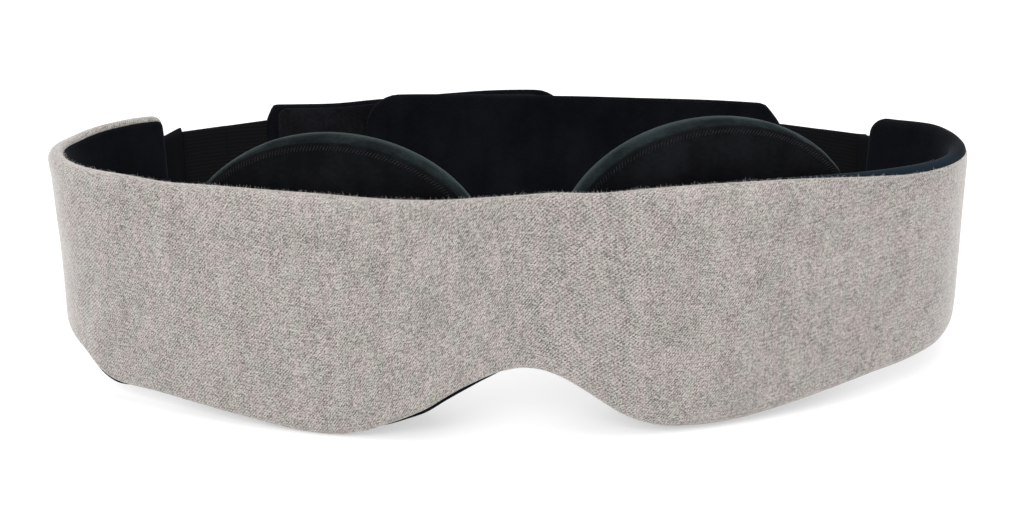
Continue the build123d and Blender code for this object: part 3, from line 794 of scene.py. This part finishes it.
def cupRings():
    # profile from the middle of the front round the side to the middle of the eye hollow:
    # share of the outline, millimetres beyond it, and depth
    front, side, back = cup["bodyDepth"], cup["sideDepth"], cup["round"]
    rings = [(r, 0.0, front) for r in (0.0, 0.2, 0.4, 0.6, 0.78, 0.9)]
    rings += [(1.0, -0.9 * mm, front + 0.05 * mm), (1.0, -0.25 * mm, front + 0.5 * mm)]
    for t in np.linspace(0.1, 1, 7):
        rings.append((1.0, -0.2 * mm + cup["bulge"] * math.sin(math.pi * t * 0.8), front + side * t))
    for t in np.linspace(0.15, 1, 6):
        turn = t * math.pi / 2
        rings.append((1.0, -back * (1 - math.cos(turn)), front + side + back * math.sin(turn)))
    hollow = cup["hollowWidth"] / cup["width"]
    top = front + side + back
    outer = 1 - back / (cup["width"] / 2)
    for t in np.linspace(0.2, 1, 5):
        r = outer + (hollow + 0.05 - outer) * t
        rings.append((r, 0.0, top + 0.5 * mm * math.sin(math.pi * t)))
    sunk = [(hollow - inside, sink) for inside, sink in cup["hollow"]]
    for r, sink in (*sunk, (0.2, cup["hollowDepth"]), (0.0, cup["hollowDepth"])):
        rings.append((r, 0.0, top - sink * mm))
    return rings


def cupMesh(name, sideName):
    angles = np.linspace(0, 2 * math.pi, cup["around"], endpoint=False)
    points, rings = [], cupRings()
    for share, beyond, depth in rings[1:-1]:
        x, z = cupOutline(angles, share, beyond)
        points.append(cupAt(sideName, x, z, np.full_like(x, depth)))
    points = np.array(points)
    count, around = points.shape[:2]
    flat = [*points.reshape(-1, 3)]
    for _, _, depth in (rings[0], rings[-1]):
        flat.append(cupAt(sideName, np.zeros(1), np.zeros(1), np.array([depth]))[0])
    faces = ringFaces(count, around)
    for j in range(around):
        faces.append((j, (j + 1) % around, count * around))
        last = (count - 1) * around
        faces.append((last + (j + 1) % around, last + j, count * around + 1))
    return meshPiece(name, flat, faces, finish["cupSide"])


def inflate(piece, held, pressure, mostMove):
    # cloth with air in it, held at some points; no point moves further than mostMove
    rest = np.array([v.co for v in piece.data.vertices])
    group = piece.vertex_groups.new(name="held")
    group.add([int(i) for i in held], 1.0, "REPLACE")
    cloth = piece.modifiers.new("cloth", "CLOTH")
    cloth.settings.vertex_group_mass = "held"
    cloth.settings.use_pressure = True
    cloth.settings.uniform_pressure_force = pressure
    cloth.settings.effector_weights.gravity = 0
    cloth.settings.quality = 6
    cloth.settings.shrink_min = -0.02
    cloth.point_cache.frame_end = 20
    for frameNumber in range(1, 21):
        bpy.context.scene.frame_set(frameNumber)
    result = bpy.data.meshes.new_from_object(piece.evaluated_get(bpy.context.evaluated_depsgraph_get()))
    moved = np.array([v.co for v in result.vertices]) - rest
    bpy.data.meshes.remove(result)
    piece.modifiers.remove(cloth)
    piece.vertex_groups.clear()
    bpy.context.scene.frame_set(1)
    length = np.linalg.norm(moved, axis=1)
    print(piece.name, "inflated, most move %.2f mm" % (length.max() * 1000))
    moved *= np.minimum(1, mostMove / np.maximum(length, 1e-9))[:, None]
    piece.data.vertices.foreach_set("co", (rest + moved).ravel())
    piece.data.update()


def subdivided(piece):
    modifier = piece.modifiers.new("smooth", "SUBSURF")
    modifier.levels = modifier.render_levels = 1
    mesh = bpy.data.meshes.new_from_object(piece.evaluated_get(bpy.context.evaluated_depsgraph_get()))
    piece.modifiers.clear()
    piece.data = mesh
    return piece


def cupFace(name, sideName):
    # front fabric: a thin disc with a soft edge and a slit for the puck
    angles = np.linspace(0, 2 * math.pi, 120, endpoint=False)
    profile = [(r, 0.0, 0.0) for r in np.linspace(0.08, 0.93, 12)]
    edge = ((-1.6, 0.0), (-0.6, 0.08), (-0.1, 0.3), (0.0, 0.5), (-0.2, 0.8), (-1.2, 0.9))
    profile += [(1.0, beyond * mm, depth * mm) for beyond, depth in edge]
    profile += [(r, 0.0, 0.9 * mm) for r in (0.9, 0.5, 0.08)]
    rings = []
    for share, beyond, depth in profile:
        x, z = cupOutline(angles, share, beyond)
        across = np.exp(-(((z - cup["slitHeight"]) / cup["slitWidth"]) ** 2))
        slit = cup["slitDepth"] * across * (np.abs(x) < cup["slitHalf"])
        rings.append(cupAt(sideName, x, z, cup["faceDepth"] + depth + (slit if depth < 0.1 * mm else 0)))
    points = np.array(rings)
    count, around = points.shape[:2]
    faces = ringFaces(count, around)
    faces.append(tuple(range(around)))
    faces.append(tuple((count - 1) * around + j for j in range(around)))
    return meshPiece(name, points.reshape(-1, 3), faces, finish["cupFace"])


for sideName in ("left", "right"):
    body = sideName + "_cup"
    pillow = cupMesh(sideName + "CupPillow", sideName)
    count = len(pillow.data.vertices)
    held = [*range(cup["around"] * cup["heldRings"]), count - 1, count - 2]
    inflate(pillow, held, cup["pressure"], cup["mostMove"])
    subdivided(pillow)
    stand(pillow)
    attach(pillow, body)
    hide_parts(*(sideName + "_cup_" + n for n in ("gusset", "foam", "eye_cover")))
    face = stand(cupFace(sideName + "CupFace", sideName))
    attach(face, body)
    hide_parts(sideName + "_cup_front_face")
print("cups made")


def newTree(name, **inputs):
    tree = bpy.data.node_groups.new(name, "GeometryNodeTree")
    tree.interface.new_socket("Geometry", in_out="INPUT", socket_type="NodeSocketGeometry")
    for label, kind in inputs.items():
        tree.interface.new_socket(label, in_out="INPUT", socket_type="NodeSocket" + kind)
    tree.interface.new_socket("Geometry", in_out="OUTPUT", socket_type="NodeSocketGeometry")
    return tree


class Maker:
    # adds nodes to a geometry tree and links them
    def __init__(self, tree):
        self.tree = tree
        self.inputs = tree.nodes.new("NodeGroupInput")
        self.result = tree.nodes.new("NodeGroupOutput")

    def add(self, kind, settings=None, values=None):
        node = self.tree.nodes.new(kind)
        for name, setting in (settings or {}).items():
            setattr(node, name, setting)
        for key, value in (values or {}).items():
            if isinstance(value, bpy.types.NodeSocket):
                self.tree.links.new(value, node.inputs[key])
            else:
                node.inputs[key].default_value = value
        return node

    def given(self, name):
        return self.inputs.outputs[name]

    def upright(self):
        # turns a piece's Z to each point's "outward" direction
        kind = {"data_type": "FLOAT_VECTOR"}
        outward = self.add("GeometryNodeInputNamedAttribute", kind, {"Name": "outward"}).outputs[0]
        return self.add("FunctionNodeAlignRotationToVector", {"axis": "Z"}, {"Vector": outward})

    def random(self, low, high, seed):
        values = {"Min": low, "Max": high, "Seed": seed}
        number = self.add("FunctionNodeRandomValue", {"data_type": "FLOAT"}, values)
        return [out for out in number.outputs if out.enabled][0]

    def spun(self, rotation, about):
        # turns further about the piece's own Z
        axes = self.add("ShaderNodeCombineXYZ", {}, {"Z": about})
        turn = self.add("FunctionNodeEulerToRotation", {}, {"Euler": axes.outputs[0]})
        values = {"Rotation": rotation.outputs[0], "Rotate By": turn.outputs[0]}
        return self.add("FunctionNodeRotateRotation", {"rotation_space": "LOCAL"}, values)

    def finish(self, geometry, material):
        real = self.add("GeometryNodeRealizeInstances", {}, {"Geometry": geometry}).outputs[0]
        dressed = self.add("GeometryNodeSetMaterial", {}, {"Geometry": real, "Material": material})
        self.tree.links.new(dressed.outputs[0], self.result.inputs[0])


def stitchTree():
    # stitches at an even pitch along a line of points that carries its own "outward" direction
    make = Maker(newTree(
        "stitches", Pitch="Float", Length="Float", Width="Float", Slant="Float", Thread="Material"
    ))
    line = make.add("GeometryNodeMeshToCurve", {}, {"Mesh": make.given("Geometry")})
    spacing = {"Curve": line.outputs[0], "Length": make.given("Pitch")}
    even = make.add("GeometryNodeResampleCurve", {"mode": "LENGTH"}, spacing)
    bead = make.add("GeometryNodeMeshUVSphere", {}, {"Segments": 6, "Rings": 5, "Radius": 0.5})
    width = make.given("Width")
    size = make.add("ShaderNodeCombineXYZ", {}, {"X": make.given("Length"), "Y": width, "Z": width})
    thread = make.add("GeometryNodeTransform", {}, {"Geometry": bead.outputs[0], "Scale": size.outputs[0]})
    tangent = make.add("GeometryNodeInputTangent")
    along = make.add(
        "FunctionNodeAlignRotationToVector", {"axis": "X", "pivot_axis": "Z"},
        {"Rotation": make.upright().outputs[0], "Vector": tangent.outputs[0]},
    )
    turned = make.spun(along, make.given("Slant"))
    placed = make.add(
        "GeometryNodeInstanceOnPoints", {},
        {"Points": even.outputs[0], "Instance": thread.outputs[0], "Rotation": turned.outputs[0]},
    )
    make.finish(placed.outputs[0], make.given("Thread"))
    return make.tree


def hookTree():
    # one small bent hook on every point, turned to the point's "outward" direction
    make = Maker(newTree("hooks", Height="Float", Width="Float", Plastic="Material"))
    arc = make.add(
        "GeometryNodeCurveArc", {"mode": "RADIUS"},
        {"Resolution": 5, "Radius": 0.5, "Start Angle": -0.4, "Sweep Angle": 3.9},
    )
    section = {"Resolution": 4, "Radius": make.given("Width")}
    wire = make.add("GeometryNodeCurvePrimitiveCircle", {"mode": "RADIUS"}, section)
    raised = {"Geometry": arc.outputs[0], "Rotation": (math.pi / 2, 0, 0)}
    height = make.given("Height")
    size = make.add("ShaderNodeCombineXYZ", {}, {"X": height, "Y": height, "Z": height})
    upright = make.add("GeometryNodeTransform", {}, raised).outputs[0]
    scaled = {"Geometry": upright, "Scale": size.outputs[0]}
    sized = make.add("GeometryNodeTransform", {}, scaled)
    swept = {"Curve": sized.outputs[0], "Profile Curve": wire.outputs[0], "Fill Caps": True}
    hook = make.add("GeometryNodeCurveToMesh", {}, swept)
    turned = make.spun(make.upright(), make.random(-0.5, 0.5, 4))
    placed = make.add(
        "GeometryNodeInstanceOnPoints", {},
        {"Points": make.given("Geometry"), "Instance": hook.outputs[0], "Rotation": turned.outputs[0]},
    )
    make.finish(placed.outputs[0], make.given("Plastic"))
    return make.tree


def grown(name, tree, points, outward, values, closed=False, line=True):
    # runs a tree on a line or cloud of points and keeps the result as a plain mesh
    mesh = bpy.data.meshes.new(name)
    count = len(points)
    edges = [(i, (i + 1) % count) for i in range(count if closed else count - 1)] if line else []
    mesh.from_pydata([tuple(p) for p in points], edges, [])
    attribute = mesh.attributes.new("outward", "FLOAT_VECTOR", "POINT")
    attribute.data.foreach_set("vector", np.array(outward, np.float32).ravel())
    piece = bpy.data.objects.new(name, mesh)
    bpy.context.scene.collection.objects.link(piece)
    modifier = piece.modifiers.new("grow", "NODES")
    modifier.node_group = tree
    for socket in tree.interface.items_tree:
        if socket.item_type == "SOCKET" and socket.in_out == "INPUT" and socket.name in values:
            modifier[socket.identifier] = values[socket.name]
    made = bpy.data.meshes.new_from_object(piece.evaluated_get(bpy.context.evaluated_depsgraph_get()))
    piece.modifiers.clear()
    piece.data = made
    made.polygons.foreach_set("use_smooth", np.ones(len(made.polygons), bool))
    return piece


stitches = stitchTree()
hooks = hookTree()
cupStitch = {"Pitch": 0.85 * mm, "Length": 1.9 * mm, "Width": 0.30 * mm, "Slant": math.radians(58)}
rimStitch = {"Pitch": 1.0 * mm, "Length": 0.85 * mm, "Width": 0.26 * mm, "Slant": math.radians(12)}
stitchLine = {
    "cupInset": 1.5 * mm, "rimStart": 94 * mm, "rimEnd": 121 * mm, "rimTurn": math.radians(124),
    "proud": 0.02 * mm,
}
hookRows = {
    "border": 1.5 * mm, "acrossPitch": 1.7 * mm, "upPitch": 1.6 * mm, "stagger": 0.8 * mm,
    "inside": 0.45 * mm,
}
hookSize = {"Height": 0.55 * mm, "Width": 0.09 * mm}


def cupStitches(sideName):
    a, b = (cup[size] / 2 - stitchLine["cupInset"] for size in ("width", "height"))
    angles = np.linspace(0, 2 * math.pi, 300, endpoint=False)
    x, z = a * np.cos(angles), b * np.sin(angles)
    points = cupAt(sideName, x, z, np.full_like(x, cup["faceDepth"] - stitchLine["proud"]))
    outward = unit(cupAt(sideName, x, z, np.full_like(x, cup["faceDepth"] - 1 * mm)) - points)
    values = {**cupStitch, "Thread": finish["thread"]}
    piece = stand(grown(sideName + "CupOverlock", stitches, points, outward, values, closed=True))
    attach(piece, sideName + "_cup")
    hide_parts(sideName + "_cup_overlock")


def padHooks():
    # rows of hooks over the patch on the outer pad's inner face
    seam, tip = strap["seam"][-1], strap["tip"][-1]
    border, corner = hookRows["border"], strap["tipCorner"]
    start, end = seam + strap["hookEndBorder"] + border, tip - strap["hookEndBorder"] - border
    half = strap["padHeight"] / 2 - strap["hookEdgeBorder"] - border
    points, outward = [], []
    for row, x in enumerate(np.arange(start, end, hookRows["acrossPitch"])):
        for z in np.arange(-half + (row % 2) * hookRows["stagger"], half, hookRows["upPitch"]):
            fromTip = max(corner - (end + border - x), 0)
            if abs(z) > half - (corner - math.sqrt(max(corner**2 - fromTip**2, 0))):
                continue
            angle = math.asin(x / strap["padRadius"])
            slope = math.tan(math.radians(strap["slope"][-1]))
            middle = strap["padMiddle"] + slope * (x - (seam + tip) / 2)
            radius = strap["hookRadius"] + hookRows["inside"]
            y = strap["padCentreY"] + radius * math.cos(angle)
            points.append((radius * math.sin(angle), y, middle + z))
            outward.append((-math.sin(angle), -math.cos(angle), 0))
    values = {**hookSize, "Plastic": finish["hook"]}
    piece = stand(grown("hookRows", hooks, points, outward, values, line=False))
    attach(piece, "left_pad")


def onRim(s, turn, out, base):
    # points round the band's top edge, a distance out from the middle of its round
    radius = band["thickness"] / 2
    x, y = bandAt(s, radius - out * np.cos(turn))
    return np.stack([x, y, base + out * np.sin(turn)], 1)


def rimStitches():
    # the seam that closes the rolled top edge on the right, on its inner side
    s = np.linspace(stitchLine["rimStart"], stitchLine["rimEnd"], 120)
    radius = band["thickness"] / 2
    base = edgeCurve(band["topEdge"], s) - radius
    turn = np.full_like(s, stitchLine["rimTurn"])
    points = onRim(s, turn, radius + stitchLine["proud"], base)
    outward = unit(onRim(s, turn, radius + 1 * mm, base) - points)
    values = {**rimStitch, "Thread": finish["rimThread"]}
    piece = stand(grown("rimSeam", stitches, points, outward, values))
    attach(piece, "front_panel")


def fuzzTree():
    # fine fibres standing on points, each a thin cone of its own size
    make = Maker(newTree("fuzz", Length="Float", Radius="Float", Yarn="Material", Seed="Int"))
    shape = {"Vertices": 3, "Side Segments": 2, "Radius Top": 0.0, "Radius Bottom": make.given("Radius")}
    shape["Depth"] = make.given("Length")
    cone = make.add("GeometryNodeMeshCone", {"fill_type": "NONE"}, shape)
    size = make.random(0.4, 1.0, make.given("Seed"))
    turned = make.upright().outputs[0]
    placed = make.add(
        "GeometryNodeInstanceOnPoints", {},
        {"Points": make.given("Geometry"), "Instance": cone.outputs[0], "Rotation": turned, "Scale": size},
    )
    make.finish(placed.outputs[0], make.given("Yarn"))
    return make.tree


fuzz = {
    "count": 3000, "length": 1.5 * mm, "radius": 0.04 * mm, "seed": 7,
    "start": -150 * mm, "end": 118 * mm, "sunk": 0.35 * mm,
    "spread": 0.9, "tilt": 0.5, "rise": 0.3,  # how unevenly the fibres lean along, over and up
}


def knitFuzz():
    rng = np.random.default_rng(fuzz["seed"])
    s = rng.uniform(fuzz["start"], fuzz["end"], fuzz["count"])
    radius = band["thickness"] / 2
    seam = np.interp(s, *(np.array(band["seamTop"], float).T * mm))
    turn = np.arccos(1 - np.minimum(seam / radius, 1.98)) * rng.uniform(0.55, 1.0, len(s))
    base = edgeCurve(band["topEdge"], s) - radius
    root = radius - fuzz["sunk"]
    points = onRim(s, turn, root, base)
    along, over, up = (rng.normal(0, fuzz[way], len(s)) for way in ("spread", "tilt", "rise"))
    x, y = bandAt(s + along * mm, radius - (root + 1 * mm) * np.cos(turn + over))
    z = base + (root + 1 * mm) * np.sin(turn) + up * mm
    outward = unit(np.stack([x, y, z], 1) - points)
    values = {socket: fuzz[socket.lower()] for socket in ("Length", "Radius", "Seed")}
    values["Yarn"] = finish["fuzz"]
    piece = stand(grown("knitFuzz", fuzzTree(), points, outward, values, line=False))
    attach(piece, "front_panel")


cupStitches("left")
cupStitches("right")
padHooks()
rimStitches()
knitFuzz()
print("stitches and hooks made")


def lamp(name, energy, place, target, size):
    data = bpy.data.lights.new(name, "AREA")
    data.energy = energy
    data.shape = "RECTANGLE"
    data.size = size
    data.size_y = size * 0.7
    light = bpy.data.objects.new(name, data)
    light.location = place
    light.rotation_euler = (Vector(target) - Vector(place)).to_track_quat("-Z", "Y").to_euler()
    bpy.context.scene.collection.objects.link(light)


table = {"glow": 0.46, "white": 0.62, "half": 3.0}


def studio():
    low = min(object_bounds()[0][2], 0.0)  # the soft lobes press a little lower than their solids
    corners = [(x * table["half"], y * table["half"], low) for x, y in ((-1, -1), (1, -1), (1, 1), (-1, 1))]
    ground = meshPiece("table", corners, [(0, 1, 2, 3)], tableMaterial(), outward=False)
    ground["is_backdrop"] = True
    world = bpy.data.worlds.new("studio")
    world.use_nodes = True
    sky = world.node_tree.nodes["Background"].inputs
    sky["Color"].default_value = (1, 1, 1, 1)
    sky["Strength"].default_value = 1.0
    bpy.context.scene.world = world
    lamp("front", 6, (-0.5, -0.9, 1.0), (0, 0, 0.03), 0.9)
    lamp("above", 5, (0.2, 0.1, 1.2), (0, 0, 0), 1.0)
    bpy.context.scene.view_settings.view_transform = "Standard"


def tableMaterial():
    m = Shader("table paper", Roughness=0.9, Specular_IOR_Level=0.0, Emission_Strength=table["glow"])
    m.surface.inputs["Emission Color"].default_value = (1, 1, 1, 1)
    grain = m.noise(m.place(), 30.0, 2.0)
    darker, lighter = ((table["white"] + change,) * 3 + (1,) for change in (-0.01, 0.01))
    m.colour(m.blend(grain, darker, lighter))
    return m.material


view = {
    "elevation": 16.573, "turn": 1.562, "roll": -0.356, "distance": 499.64 * mm,
    "aim": (0, 60 * mm, 30 * mm), "focal": 1774.4, "centre": (509.21, 255.16),
    "picture": (1024, 510), "sensor": 36,
}


def camera():
    tilt, turn = math.radians(view["elevation"]), math.radians(-view["turn"])
    spin = Matrix.Rotation(turn, 3, "Z")
    forward = spin @ Vector((0, math.cos(tilt), -math.sin(tilt)))
    up = spin @ Vector((0, math.sin(tilt), math.cos(tilt)))
    up = Matrix.Rotation(-math.radians(view["roll"]), 3, forward) @ up
    right = forward.cross(up)
    facing = Matrix((right, up, -forward)).transposed().to_4x4()
    data = bpy.data.cameras.new("camera")
    wide, high = view["picture"]
    data.sensor_width = view["sensor"]
    data.lens = view["focal"] * view["sensor"] / wide
    data.shift_x = (wide / 2 - view["centre"][0]) / wide
    data.shift_y = (view["centre"][1] - high / 2) / wide
    data.clip_start = 0.01
    seat = bpy.data.objects.new("camera", data)
    place = Matrix.Translation(Vector(view["aim"]) - forward * view["distance"])
    seat.matrix_world = standing @ place @ facing
    bpy.context.scene.collection.objects.link(seat)
    bpy.context.scene.camera = seat


studio()
camera()
print("table, light and camera made")
